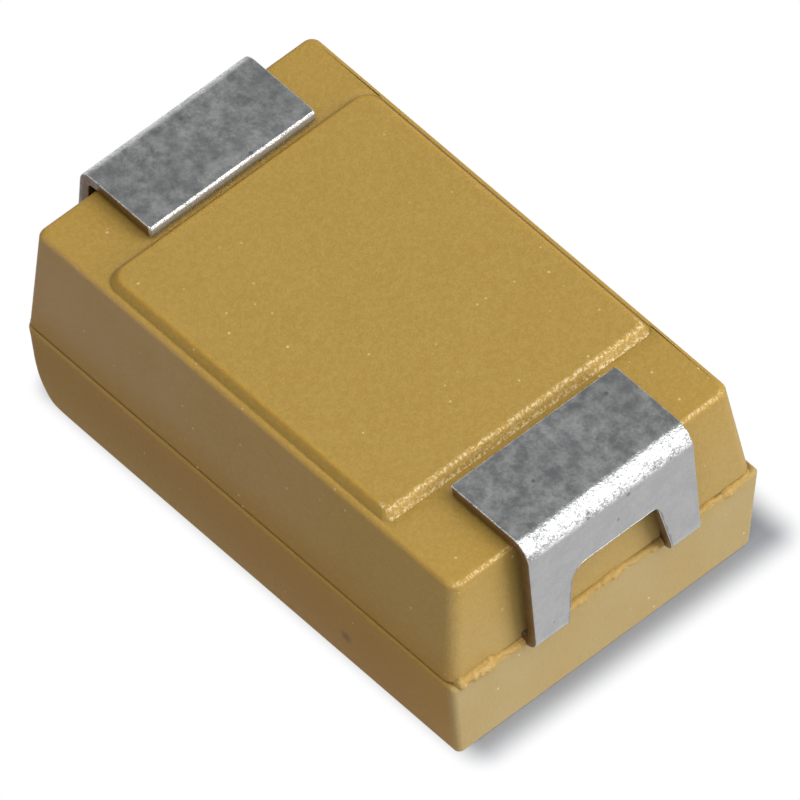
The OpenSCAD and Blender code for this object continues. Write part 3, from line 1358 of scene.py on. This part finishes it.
    def edge_loop(self, corners: Sequence[tuple[float, float, float]]) -> Array:
        """A closed outline with round corners and evenly spaced points.

        Args:
            corners: Place and radius of each corner, counter-clockwise.

        Returns:
            The points.
        """
        spots = np.array([corner[:2] for corner in corners])
        arcs: list[Array] = []
        for number, (_, _, radius) in enumerate(corners):
            here = spots[number]
            to_last = spots[number - 1] - here
            to_next = spots[(number + 1) % len(spots)] - here
            to_last /= np.hypot(*to_last)
            to_next /= np.hypot(*to_next)
            corner = math.acos(float(to_last @ to_next))
            sweep = math.pi - corner
            half_way = (to_last + to_next) / np.hypot(*(to_last + to_next))
            centre = here + half_way * radius / math.sin(corner / 2)
            reach = radius / math.tan(corner / 2)
            first, last = here + to_last * reach - centre, here + to_next * reach - centre
            steps = max(3, math.ceil(radius * sweep / self.fine))
            turns = np.linspace(0.0, sweep, steps + 1)[:, None]
            arcs.append(centre + (np.sin(sweep - turns) * first + np.sin(turns) * last) / math.sin(sweep))
        loop: list[Array] = []
        for number, arc in enumerate(arcs):
            loop.append(arc)
            after = arcs[(number + 1) % len(arcs)][0]
            spans = max(1, math.ceil(np.hypot(*(after - arc[-1])) / self.fine))
            loop.append(arc[-1] + (after - arc[-1]) * (np.arange(1, spans) / spans)[:, None])
        return np.concatenate(loop)


@dataclass
class NegativeLead(FoldedLead):
    """The lead with the notch between its two legs."""

    notch_foot: tuple[float, float] = (-0.67, 0.72)
    notch_top: tuple[float, float] = (-0.59, 0.61)
    notch_h: float = 0.93
    notch_wide_r: float = 0.22
    notch_tight_r: float = 0.08
    notch_lock: float = 0.3
    case_end: float = 3.52
    cradle_l: float = 1.7
    cradle_z: float = 1.995

    @property
    def riser_end(self) -> float:
        """Where the riser has turned towards the end of the case, along X."""
        return self.low.x + self.cradle_l + 2 * self.bend_r + self.thickness

    def inner_legs(self) -> list[Run | Bend]:
        """The lengths inside the case, along the pellet and down the riser.

        Returns:
            The legs.
        """
        bend = self.bend_r + self.thickness / 2
        riser = self.cradle_z - self.bend_r - (self.parting_z + self.thickness + self.bend_r)
        return [Run(self.cradle_l), Bend(bend, -90.0), Run(riser), Bend(bend, 90.0)]

    @property
    def path(self) -> FoldPath:
        """Cradle, riser, leg and foot."""
        legs = self.inner_legs() + self.outer_legs(self.riser_end)
        return FoldPath((self.low.x, self.cradle_z + self.thickness / 2), legs)

    def blank(self) -> list[Array]:
        """The strip and its notch, which widens evenly from the fold to the case.

        Returns:
            The two outlines.
        """
        path, half, r = self.path, self.width / 2, self.corner_r
        inner = sum(leg.length for leg in self.inner_legs())
        start = inner + self.case_end - self.notch_lock - self.riser_end
        leg_start = inner + path.legs[4].length + path.legs[5].length
        foot = leg_start + self.thickness
        lean = math.radians(self.lean)
        bend = self.bend_r + self.thickness + (self.bend_r + self.thickness / 2) * math.sin(lean)
        end = leg_start + (self.notch_h - bend) / math.cos(lean)
        left, right = (
            low + (start - foot) * ((top - low) / (end - foot))
            for low, top in zip(self.notch_foot, self.notch_top)
        )
        strip = [(0, -half, r), (path.length, -half, r), (path.length, half, r), (0, half, r)]
        notch = [
            (start, left, r),
            (end, self.notch_top[0], self.notch_wide_r),
            (end, self.notch_top[1], self.notch_tight_r),
            (start, right, r),
        ]
        return [self.edge_loop(strip), self.edge_loop(notch)]


@dataclass
class PositiveLead(FoldedLead):
    """The plain lead, with the narrow welding tab inside the case."""

    tab_w: float = 1.1
    tab_l: float = 0.45
    crank_l: float = 0.25
    crank_r: float = 0.1

    def inner_legs(self) -> list[Run | Bend]:
        """The lengths inside the case, the tab and the crank up to the parting line.

        Returns:
            The legs.
        """
        rise = self.parting_z - self.low.z
        angle = math.degrees(math.atan2(rise, self.crank_l))
        tangent = self.crank_r * math.tan(math.radians(angle / 2))
        slope = math.hypot(rise, self.crank_l) - 2 * tangent
        return [Run(self.tab_l - tangent), Bend(self.crank_r, angle), Run(slope), Bend(self.crank_r, -angle)]

    @property
    def path(self) -> FoldPath:
        """Tab, crank, leg and foot.

        Returns:
            The side view.
        """
        inner = self.inner_legs()
        tangent = self.tab_l - inner[0].length
        crank_end = self.low.x + self.tab_l + self.crank_l + tangent
        return FoldPath((self.low.x, self.low.z + self.thickness / 2), inner + self.outer_legs(crank_end))

    def blank(self) -> list[Array]:
        """The strip with its narrow tab.

        Returns:
            Its outline.
        """
        length, half, tab, r = self.path.length, self.width / 2, self.tab_w / 2, self.corner_r
        neck = sum(leg.length for leg in self.inner_legs())
        corners = [
            (0, -tab, r),
            (neck, -tab, r),
            (neck, -half, r),
            (length, -half, r),
            (length, half, r),
            (neck, half, r),
            (neck, tab, r),
            (0, tab, r),
        ]
        return [self.edge_loop(corners)]


# ---------------------------------------------------------------- the flash


@dataclass
class PartingFlash:
    """Ragged flash left along the parting line: lumps at the negative end, a hairline on the sides.

    Sizes are in millimetres. A pair holds the least size and what the lumps add to it. step and section
    are the spacing along the line and the vertices round the flash.
    """

    case: CaseMoulding
    step: float = 0.014
    corner: int = 16
    section: int = 12
    root: float = 0.03
    side_reach: float = 0.008
    end_reach: tuple[float, float] = (0.04, 0.03)
    corner_reach: float = 0.03
    leg_reach: float = 0.035
    side_height: float = 0.01
    end_height: tuple[float, float] = (0.026, 0.022)
    corner_height: float = 0.02
    bump_depth: float = 0.003
    clearance: float = 0.002

    def outline(self) -> Array:
        """Follows the parting line.

        Returns:
            Rows of x, y and the outward normal's x and y.
        """
        ring = self.case.ring(self.case.upper_foot, self.case.upper_r, self.case.seam_z)
        along = round((ring.x1 - ring.x0) / self.step)
        across = round((ring.y1 - ring.y0) / self.step)
        loop = ring.outline(along, across, self.corner)[:, :2]
        ahead = np.roll(loop, -1, 0) - np.roll(loop, 1, 0)
        ahead /= np.hypot(*ahead.T)[:, None]
        return np.column_stack([loop, ahead[:, 1], -ahead[:, 0]])

    def sizes(self, line: Array) -> tuple[Array, Array, Array]:
        """Sizes of the flash: lumpy at the negative end, most beside the lead and at the -Y corner.

        Args:
            line: The outline.

        Returns:
            How far it stands out, how tall it is and how far it is off the line, at each point.
        """
        x, y, nx, _ = line.T
        spots = np.column_stack([line[:, :2], np.zeros(len(line))])
        lumps = ease(rough_at(spots, 2.6, 7.0), -0.3, 0.6)
        ragged = rough_at(spots, 9.0, 11.0)
        near, far = ease(nx, 0.6, 0.98), ease(-nx, 0.6, 0.98)
        left = ease(-y, 1.0, 1.25) * near
        beside = ease(np.abs(y), 0.55, 0.7) * near * ease(-np.abs(y), -1.5, -1.25)
        reach = self.side_reach + near * (self.end_reach[0] + self.end_reach[1] * lumps)
        reach = (reach + left * self.corner_reach * lumps + beside * self.leg_reach) * (1.0 + 0.4 * ragged)
        height = self.side_height + near * (self.end_height[0] + self.end_height[1] * lumps)
        height = (height + left * self.corner_height * lumps) * (1.0 + 0.35 * rough_at(spots, 9.0, 19.0))
        offset = near * (0.025 * rough_at(spots, 3.0, 23.0) - 0.03) - beside * 0.03 + left * 0.02
        sides = 1.0 - np.clip(near + far, 0.0, 1.0)
        return reach * (1 - 0.9 * sides), height, offset

    def build(self) -> bpy.types.Object:
        """Builds the flash.

        Returns:
            The piece.
        """
        line = self.outline()
        reach, height, offset = self.sizes(line)
        count, around = len(line), self.section
        angles = np.linspace(0.0, 2 * math.pi, around, endpoint=False)
        points = np.zeros((count, around, 3))
        for k, angle in enumerate(angles):
            out = np.where(math.cos(angle) > 0, reach, self.root) * math.cos(angle)
            points[:, k, 0] = line[:, 0] + line[:, 2] * out
            points[:, k, 1] = line[:, 1] + line[:, 3] * out
            points[:, k, 2] = self.case.seam_z + offset + height * math.sin(angle)
        flat = points.reshape(-1, 3)
        bumps = rough_at(flat, 9.0, 31.0, 2)[:, None] * self.bump_depth
        outward = np.repeat(line[:, 2:], around, 0)
        flat[:, :2] += outward * bumps * np.repeat(ease(reach, 0.01, 0.04), around)[:, None]
        flat[:, 1] = np.clip(flat[:, 1], self.case.low.y + self.clearance, self.case.high.y - self.clearance)
        faces = []
        for i in range(count):
            j = (i + 1) % count
            for k in range(around):
                m = (k + 1) % around
                faces.append([i * around + k, j * around + k, j * around + m, i * around + m])
        # edge, seam and glint: painted sheen where the flash stands out, painted shade along its hairline,
        # painted glints on its lumps
        masks = {
            "edge": np.repeat(ease(reach, 0.01, 0.05), around) * 0.5,
            "seam": np.repeat(1.0 - ease(reach, 0.004, 0.02), around) * 0.8,
            "glint": np.repeat(ease(reach, 0.05, 0.1), around) * 0.25,
        }
        return write_piece("parting_flash", flat, faces, EPOXY, masks)


# ---------------------------------------------------------------- inner parts


class InnerPart(Enum):
    """The CAD nodes inside the case, each with its finish."""

    PELLET = ("tantalum_pellet", SinteredTantalum())
    COAT = ("silver_coat", SilverPaint())
    ADHESIVE = ("silver_adhesive", SilverPaint())
    WIRE = ("tantalum_wire", DrawnWire())
    WASHER = ("wire_washer", Fluoroplastic())

    def dress(self) -> None:
        """Puts the finish on the node."""
        node, finish = self.value
        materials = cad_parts[node].data.materials
        materials.clear()
        materials.append(finish.material())
        LOG.info("%s: dressed with %s", node, finish.name)


# ---------------------------------------------------------------- the studio


@dataclass
class Lamp:
    """A soft lamp: the way to it, its distance and size in millimetres, and its level.

    The level is how bright the lamp alone makes a white surface that faces it.
    """

    name: str
    towards: tuple[float, float, float]
    distance: float
    size: tuple[float, float]
    level: float

    def build(self, aim: Vector) -> None:
        """Makes the lamp.

        Args:
            aim: The point it faces, in metres.
        """
        data = bpy.data.lights.new(self.name, "AREA")
        data.shape = "RECTANGLE"
        data.size, data.size_y = self.size[0] * MM, self.size[1] * MM
        data.energy = self.level * (math.pi * self.distance * MM) ** 2
        lamp = bpy.data.objects.new(self.name, data)
        way = Vector(self.towards).normalized()
        lamp.location = aim + way * self.distance * MM
        lamp.rotation_mode = "QUATERNION"
        lamp.rotation_quaternion = way.to_track_quat("Z", "Y")
        bpy.context.scene.collection.objects.link(lamp)
        LOG.info("%s: level %.2f", self.name, self.level)


@dataclass
class Studio:
    """White floor, soft lamps, even surroundings and the camera.

    Lengths are in millimetres, apart from the clip distances in metres, and angles are in degrees. Near the
    part the camera sees the floor in a blue-grey tone, a painted shadow over the real one, shifted towards
    +X and +Y: veil is the range over which it gives way to white.
    """

    floor_half: float = 400.0
    floor_drop: float = 0.002
    bounce: float = 0.65
    dim_bounce: Colour = (0.52, 0.42, 0.37)
    dim_side: float = 0.3
    # Painted shadow: the floor's blue-grey tone near the part, as the camera sees it.
    shadow_tone: Colour = (0.33, 0.35, 0.39)
    shadow_shift: float = 0.18
    veil: tuple[float, float] = (0.0, 0.46)
    ambient: float = 0.3
    ceiling: float = 0.48
    azimuth: float = 51.7785
    elevation: float = 51.4283
    roll: float = -4.2919
    distance: float = 400.0
    lens: float = 1683.1
    sensor: float = 36.0
    clip: tuple[float, float] = (0.01, 4.0)
    shift: tuple[float, float] = (0.0781, 0.6289)
    lamps: Sequence[Lamp] = (
        Lamp("key_softbox", (0.66, 0.37, 0.65), 90.0, (54.0, 92.0), 0.8),
        Lamp("top_softbox", (0.2, -0.25, 0.95), 110.0, (60.0, 60.0), 0.3),
        Lamp("low_fill", (0.93, 0.15, 0.3), 110.0, (80.0, 40.0), 0.08),
    )

    def build(self) -> None:
        """Builds the whole studio."""
        low, high = cad_bounds
        self.floor()
        self.world()
        self.camera()
        for lamp in self.lamps:
            lamp.build((low + high) / 2)
        bpy.context.scene.view_settings.view_transform = "Standard"

    def floor(self) -> None:
        """A white floor that keeps the shadow near the part, darkened there by a painted shadow tone, and is
        plain white further out.
        """
        half = self.floor_half * MM
        corners = [(-half, -half, 0), (half, -half, 0), (half, half, 0), (-half, half, 0)]
        mesh = bpy.data.meshes.new("studio_floor")
        mesh.from_pydata(corners, [], [(0, 1, 2, 3)])
        material = bpy.data.materials.new("floor_white")
        material.use_nodes = True
        kit = NodeKit(material.node_tree)
        camera = kit.add("ShaderNodeLightPath", output="Is Camera Ray")
        open_side = self.open_side(kit)
        # camera rays see the painted shadow tone near the part
        tone = kit.coats(self.dim_bounce, (open_side, (self.bounce,) * 3), (camera, self.shadow_tone))
        lit = kit.add("ShaderNodeBsdfDiffuse", {}, {"Color": tone})
        level = camera.high(open_side * (1.0 - self.dim_side) + self.dim_side)
        plain = kit.add("ShaderNodeEmission", {}, {"Color": kit.coats(ZERO, (level, WHITE))})
        share = camera * kit.step(self.off_footprint(kit), *self.veil) + self.mirrored(kit)
        shader = kit.add("ShaderNodeMixShader", {}, {0: share, 1: lit, 2: plain})
        kit.add("ShaderNodeOutputMaterial", {}, {"Surface": shader})
        mesh.materials.append(material)
        floor = bpy.data.objects.new("studio_floor", mesh)
        floor.location.z = -self.floor_drop * MM
        bpy.context.scene.collection.objects.link(floor)
        LOG.info("studio_floor: laid")

    def off_footprint(self, kit: NodeKit) -> Wire:
        """Distance from the rectangle that the painted shadow tone fills.

        Args:
            kit: Adds nodes to the material.

        Returns:
            The distance in millimetres.
        """
        aside = Vector((self.shadow_shift, self.shadow_shift, 0.0))
        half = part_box("case_moulding")[1] / MM - aside
        around = kit.vector("ABSOLUTE", kit.vector("SUBTRACT", kit.place(), aside))
        outside = kit.vector("MAXIMUM", kit.vector("SUBTRACT", around, (half.x, half.y, 1.0)))
        return kit.vector("LENGTH", outside, output="Value")

    @staticmethod
    def open_side(kit: NodeKit) -> Wire:
        """Tells the floor on the part's -Y side, which faces away from the lamps, from the rest.

        Args:
            kit: Adds nodes to the material.

        Returns:
            0 on that side and 1 elsewhere.
        """
        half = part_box("case_moulding")[1] / MM
        along, across = (kit.axis(kit.place(), name) for name in "XY")
        beside = kit.step(across, -half.y - 0.7, -half.y + 0.3)
        ahead = kit.step(along, half.x - 0.2, half.x + 0.4)
        return beside.high(ahead)

    @staticmethod
    def mirrored(kit: NodeKit) -> Wire:
        """1 for what a shiny or clear surface shows."""
        glossy = kit.add("ShaderNodeLightPath", output="Is Glossy Ray")
        return glossy.high(kit.add("ShaderNodeLightPath", output="Is Transmission Ray"))

    def world(self) -> None:
        """Even light, with a white band at the horizon and a greyer ceiling in reflections."""
        world = bpy.data.worlds.new("surroundings")
        world.use_nodes = True
        bpy.context.scene.world = world
        kit = NodeKit(world.node_tree)
        camera = kit.add("ShaderNodeLightPath", output="Is Camera Ray")
        up = kit.axis(kit.add("ShaderNodeTexCoord", output="Generated"), "Z")
        shown = kit.step(up, 0.1, 0.6, (1.0, self.ceiling))
        strength = self.ambient + camera * (1.0 - self.ambient) + self.mirrored(kit) * (shown - self.ambient)
        light = kit.add("ShaderNodeBackground", {}, {"Color": rgba(WHITE), "Strength": strength})
        kit.add("ShaderNodeOutputWorld", {}, {"Surface": light})

    def camera(self) -> None:
        """A long lens at the angle that shows the mounting face, the notched end and one side."""
        azimuth, elevation, roll = (math.radians(v) for v in (self.azimuth, self.elevation, self.roll))
        level = Vector((math.sin(azimuth), -math.cos(azimuth), 0.0))
        back = level * math.cos(elevation) + Vector((0.0, 0.0, math.sin(elevation)))
        across = Vector((math.cos(azimuth), math.sin(azimuth), 0.0))
        rise = back.cross(across)
        right = across * math.cos(roll) + rise * math.sin(roll)
        up = rise * math.cos(roll) - across * math.sin(roll)
        data = bpy.data.cameras.new("camera")
        data.lens, data.sensor_width = self.lens, self.sensor
        data.clip_start, data.clip_end = self.clip
        camera = bpy.data.objects.new("camera", data)
        place = (right * self.shift[0] + up * self.shift[1] + back * self.distance) * MM
        turn = Matrix((right, up, back)).transposed().to_4x4()
        camera.matrix_world = Matrix.Translation(place) @ turn
        bpy.context.scene.collection.objects.link(camera)
        bpy.context.scene.camera = camera
        LOG.info("camera: placed")


def main() -> None:
    """Builds the part's pieces and the studio round them."""
    logging.basicConfig(level=logging.INFO, format="%(name)s: %(message)s")
    Studio().build()
    parting_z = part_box("negative_lead")[0].z / MM
    case = CaseMoulding(parting_z)
    case.build()
    PartingFlash(case).build()
    NegativeLead(Pole.NEGATIVE, "negative_lead", foot_l=1.29, fold_r=0.12, lean=1.5).build("notched_lead")
    PositiveLead(Pole.POSITIVE, "positive_lead", foot_l=1.35, fold_r=0.05, lean=7.5).build("plain_lead")
    for part in InnerPart:
        part.dress()


if __name__ == "__main__":
    main()
